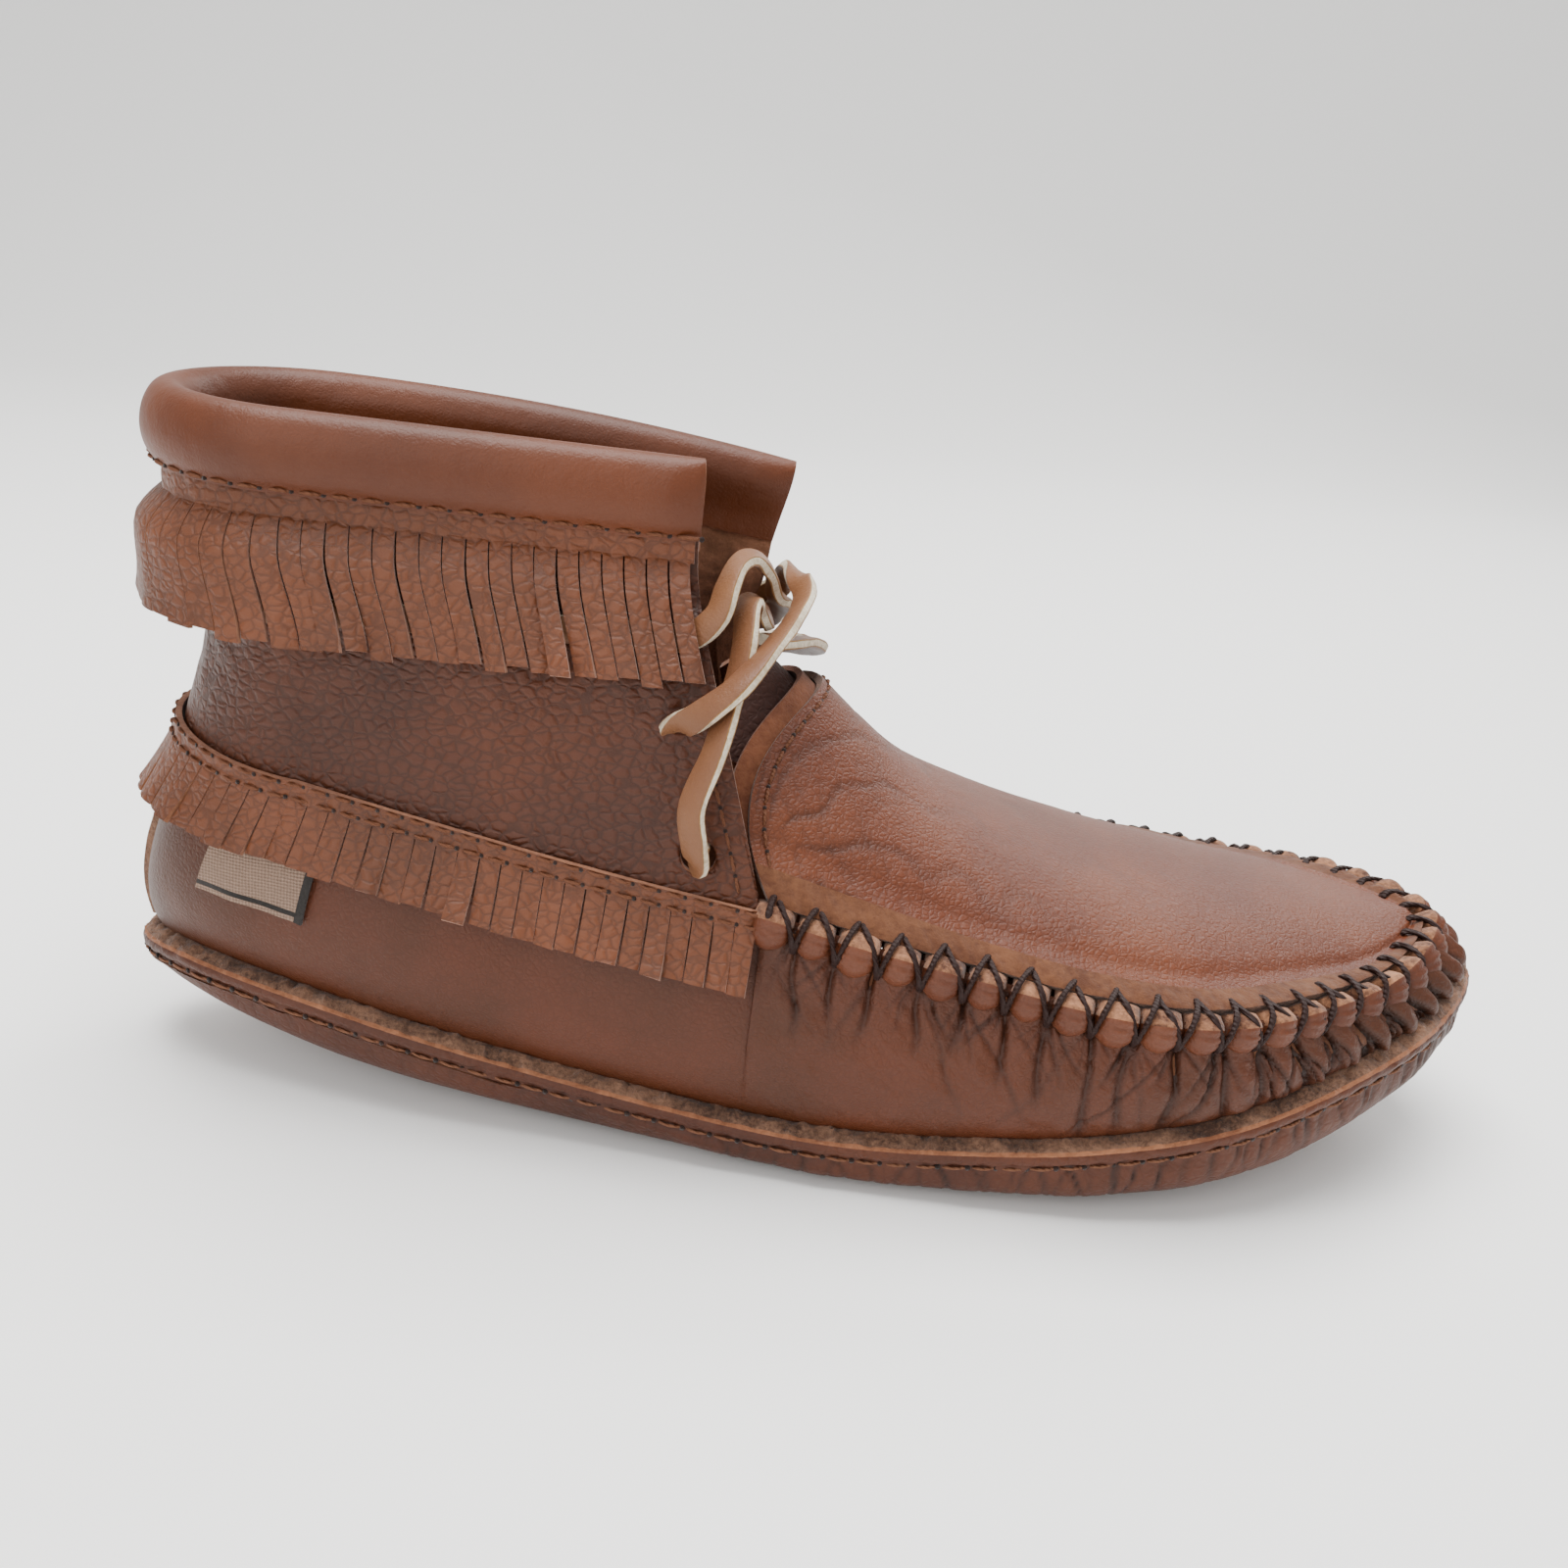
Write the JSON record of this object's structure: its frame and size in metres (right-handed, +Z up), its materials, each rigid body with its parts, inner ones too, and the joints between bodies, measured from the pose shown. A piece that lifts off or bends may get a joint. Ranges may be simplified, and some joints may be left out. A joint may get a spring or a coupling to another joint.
{
  "type": "fringed ankle moccasin",
  "caption": "Soft-soled leather ankle moccasin with a puckered apron toe, padded collar, two rows of cut fringe and a leather lace threaded through the cuff.",
  "frame": {"origin": "centre of the bounding box in plan, on the ground plane the sole rests on", "axes": "+X from heel to toe, +Y to the inner side of the foot, +Z up"},
  "size_m": [0.2865, 0.1058, 0.1384],
  "materials": {
    "sole_leather": "soft matt, creased round the edge",
    "pad_foam": "soft foam, hidden",
    "lining_suede": "napped flesh side",
    "raw_suede": "raw napped cut edge",
    "tan_thread": "waxed",
    "wall_leather": "fine grain, pleated",
    "apron_leather": "pebbled grain, satin",
    "dark_thread": "waxed",
    "tongue_leather": "smooth",
    "cuff_leather": "pebbled grain, satin",
    "collar_leather": "smooth padded roll",
    "lace_leather": "smooth face, pale cut edges",
    "label_fabric": "woven, plain",
    "fringe_leather": "pebbled grain"
  },
  "bodies": {
    "upper": {"outsole": "sole_leather", "sole_pad": "pad_foam", "insole": "lining_suede", "seam_flange": "raw_suede", "sole_thread": "tan_thread", "side_wall": "wall_leather", "heel_seam": "raw_suede", "apron": "apron_leather", "pucker_edge": "raw_suede", "pucker_thread": "dark_thread", "throat_binding": "lining_suede", "throat_thread": "dark_thread", "ankle_cuff": "cuff_leather", "collar_core": "pad_foam", "collar_band": "collar_leather", "collar_thread": "dark_thread", "lateral_facing": "lining_suede", "medial_facing": "lining_suede", "facing_thread": "dark_thread", "lace": "lace_leather", "label_tab": "label_fabric", "collar_fringe_header": "fringe_leather", "lower_fringe_header": "fringe_leather", "lower_thread": "dark_thread"},
    "collar_fringe_1": {"collar_fringe_1": "fringe_leather"},
    "collar_fringe_2": {"collar_fringe_2": "fringe_leather"},
    "collar_fringe_3": {"collar_fringe_3": "fringe_leather"},
    "collar_fringe_4": {"collar_fringe_4": "fringe_leather"},
    "collar_fringe_5": {"collar_fringe_5": "fringe_leather"},
    "collar_fringe_6": {"collar_fringe_6": "fringe_leather"},
    "collar_fringe_7": {"collar_fringe_7": "fringe_leather"},
    "collar_fringe_8": {"collar_fringe_8": "fringe_leather"},
    "lower_fringe_1": {"lower_fringe_1": "fringe_leather"},
    "lower_fringe_2": {"lower_fringe_2": "fringe_leather"},
    "lower_fringe_3": {"lower_fringe_3": "fringe_leather"},
    "lower_fringe_4": {"lower_fringe_4": "fringe_leather"},
    "lower_fringe_5": {"lower_fringe_5": "fringe_leather"},
    "lower_fringe_6": {"lower_fringe_6": "fringe_leather"},
    "lower_fringe_7": {"lower_fringe_7": "fringe_leather"},
    "lower_fringe_8": {"lower_fringe_8": "fringe_leather"},
    "tongue": {"tongue": "tongue_leather"}
  },
  "joints": [
    {"name": "collar_fringe_1_lift", "type": "hinge", "parent": "upper", "child": "collar_fringe_1", "pos_m": [-0.05025, -0.02865, 0.11775], "axis": [-0.9998, 0.0119, 0.0134], "range_deg": [0, 35]},
    {"name": "collar_fringe_2_lift", "type": "hinge", "parent": "upper", "child": "collar_fringe_2", "pos_m": [-0.08719, -0.02807, 0.11825], "axis": [-0.9997, 0.0197, 0.0141], "range_deg": [0, 35]},
    {"name": "collar_fringe_3_lift", "type": "hinge", "parent": "upper", "child": "collar_fringe_3", "pos_m": [-0.11675, -0.02569, 0.11851], "axis": [-0.9341, 0.3569, 0.001], "range_deg": [0, 35]},
    {"name": "collar_fringe_4_lift", "type": "hinge", "parent": "upper", "child": "collar_fringe_4", "pos_m": [-0.13225, -0.0113, 0.11829], "axis": [-0.4081, 0.9129, -0.0045], "range_deg": [0, 35]},
    {"name": "collar_fringe_5_lift", "type": "hinge", "parent": "upper", "child": "collar_fringe_5", "pos_m": [-0.13225, 0.00924, 0.1183], "axis": [0.4081, 0.9129, 0.008], "range_deg": [0, 35]},
    {"name": "collar_fringe_6_lift", "type": "hinge", "parent": "upper", "child": "collar_fringe_6", "pos_m": [-0.11676, 0.02363, 0.11855], "axis": [0.934, 0.3571, -0.0049], "range_deg": [0, 35]},
    {"name": "collar_fringe_7_lift", "type": "hinge", "parent": "upper", "child": "collar_fringe_7", "pos_m": [-0.08365, 0.0259, 0.11732], "axis": [0.998, 0.0121, -0.0626], "range_deg": [0, 35]},
    {"name": "collar_fringe_8_lift", "type": "hinge", "parent": "upper", "child": "collar_fringe_8", "pos_m": [-0.03981, 0.02629, 0.11307], "axis": [0.9917, 0.007, -0.1282], "range_deg": [0, 35]},
    {"name": "lower_fringe_1_lift", "type": "hinge", "parent": "upper", "child": "lower_fringe_1", "pos_m": [-0.03639, -0.04317, 0.05619], "axis": [-0.9836, 0.1258, 0.1293], "range_deg": [0, 35]},
    {"name": "lower_fringe_2_lift", "type": "hinge", "parent": "upper", "child": "lower_fringe_2", "pos_m": [-0.08119, -0.03595, 0.06261], "axis": [-0.9707, 0.199, 0.1348], "range_deg": [0, 35]},
    {"name": "lower_fringe_3_lift", "type": "hinge", "parent": "upper", "child": "lower_fringe_3", "pos_m": [-0.11547, -0.02801, 0.06709], "axis": [-0.9094, 0.3929, 0.1365], "range_deg": [0, 35]},
    {"name": "lower_fringe_4_lift", "type": "hinge", "parent": "upper", "child": "lower_fringe_4", "pos_m": [-0.13196, -0.01138, 0.06958], "axis": [-0.3818, 0.9226, 0.0553], "range_deg": [0, 35]},
    {"name": "lower_fringe_5_lift", "type": "hinge", "parent": "upper", "child": "lower_fringe_5", "pos_m": [-0.13197, 0.01152, 0.06989], "axis": [0.3827, 0.9238, -0.0103], "range_deg": [0, 35]},
    {"name": "lower_fringe_6_lift", "type": "hinge", "parent": "upper", "child": "lower_fringe_6", "pos_m": [-0.11548, 0.0281, 0.069], "axis": [0.9169, 0.3943, -0.0623], "range_deg": [0, 35]},
    {"name": "lower_fringe_7_lift", "type": "hinge", "parent": "upper", "child": "lower_fringe_7", "pos_m": [-0.08159, 0.03564, 0.0665], "axis": [0.9757, 0.1863, -0.1153], "range_deg": [0, 35]},
    {"name": "lower_fringe_8_lift", "type": "hinge", "parent": "upper", "child": "lower_fringe_8", "pos_m": [-0.03774, 0.04204, 0.05858], "axis": [0.9685, 0.1095, -0.2236], "range_deg": [0, 35]},
    {"name": "tongue_flex", "type": "hinge", "parent": "upper", "child": "tongue", "pos_m": [0.0065, -0.0005, 0.0765], "axis": [0, -1, 0], "range_deg": [0, 12]}
  ]
}
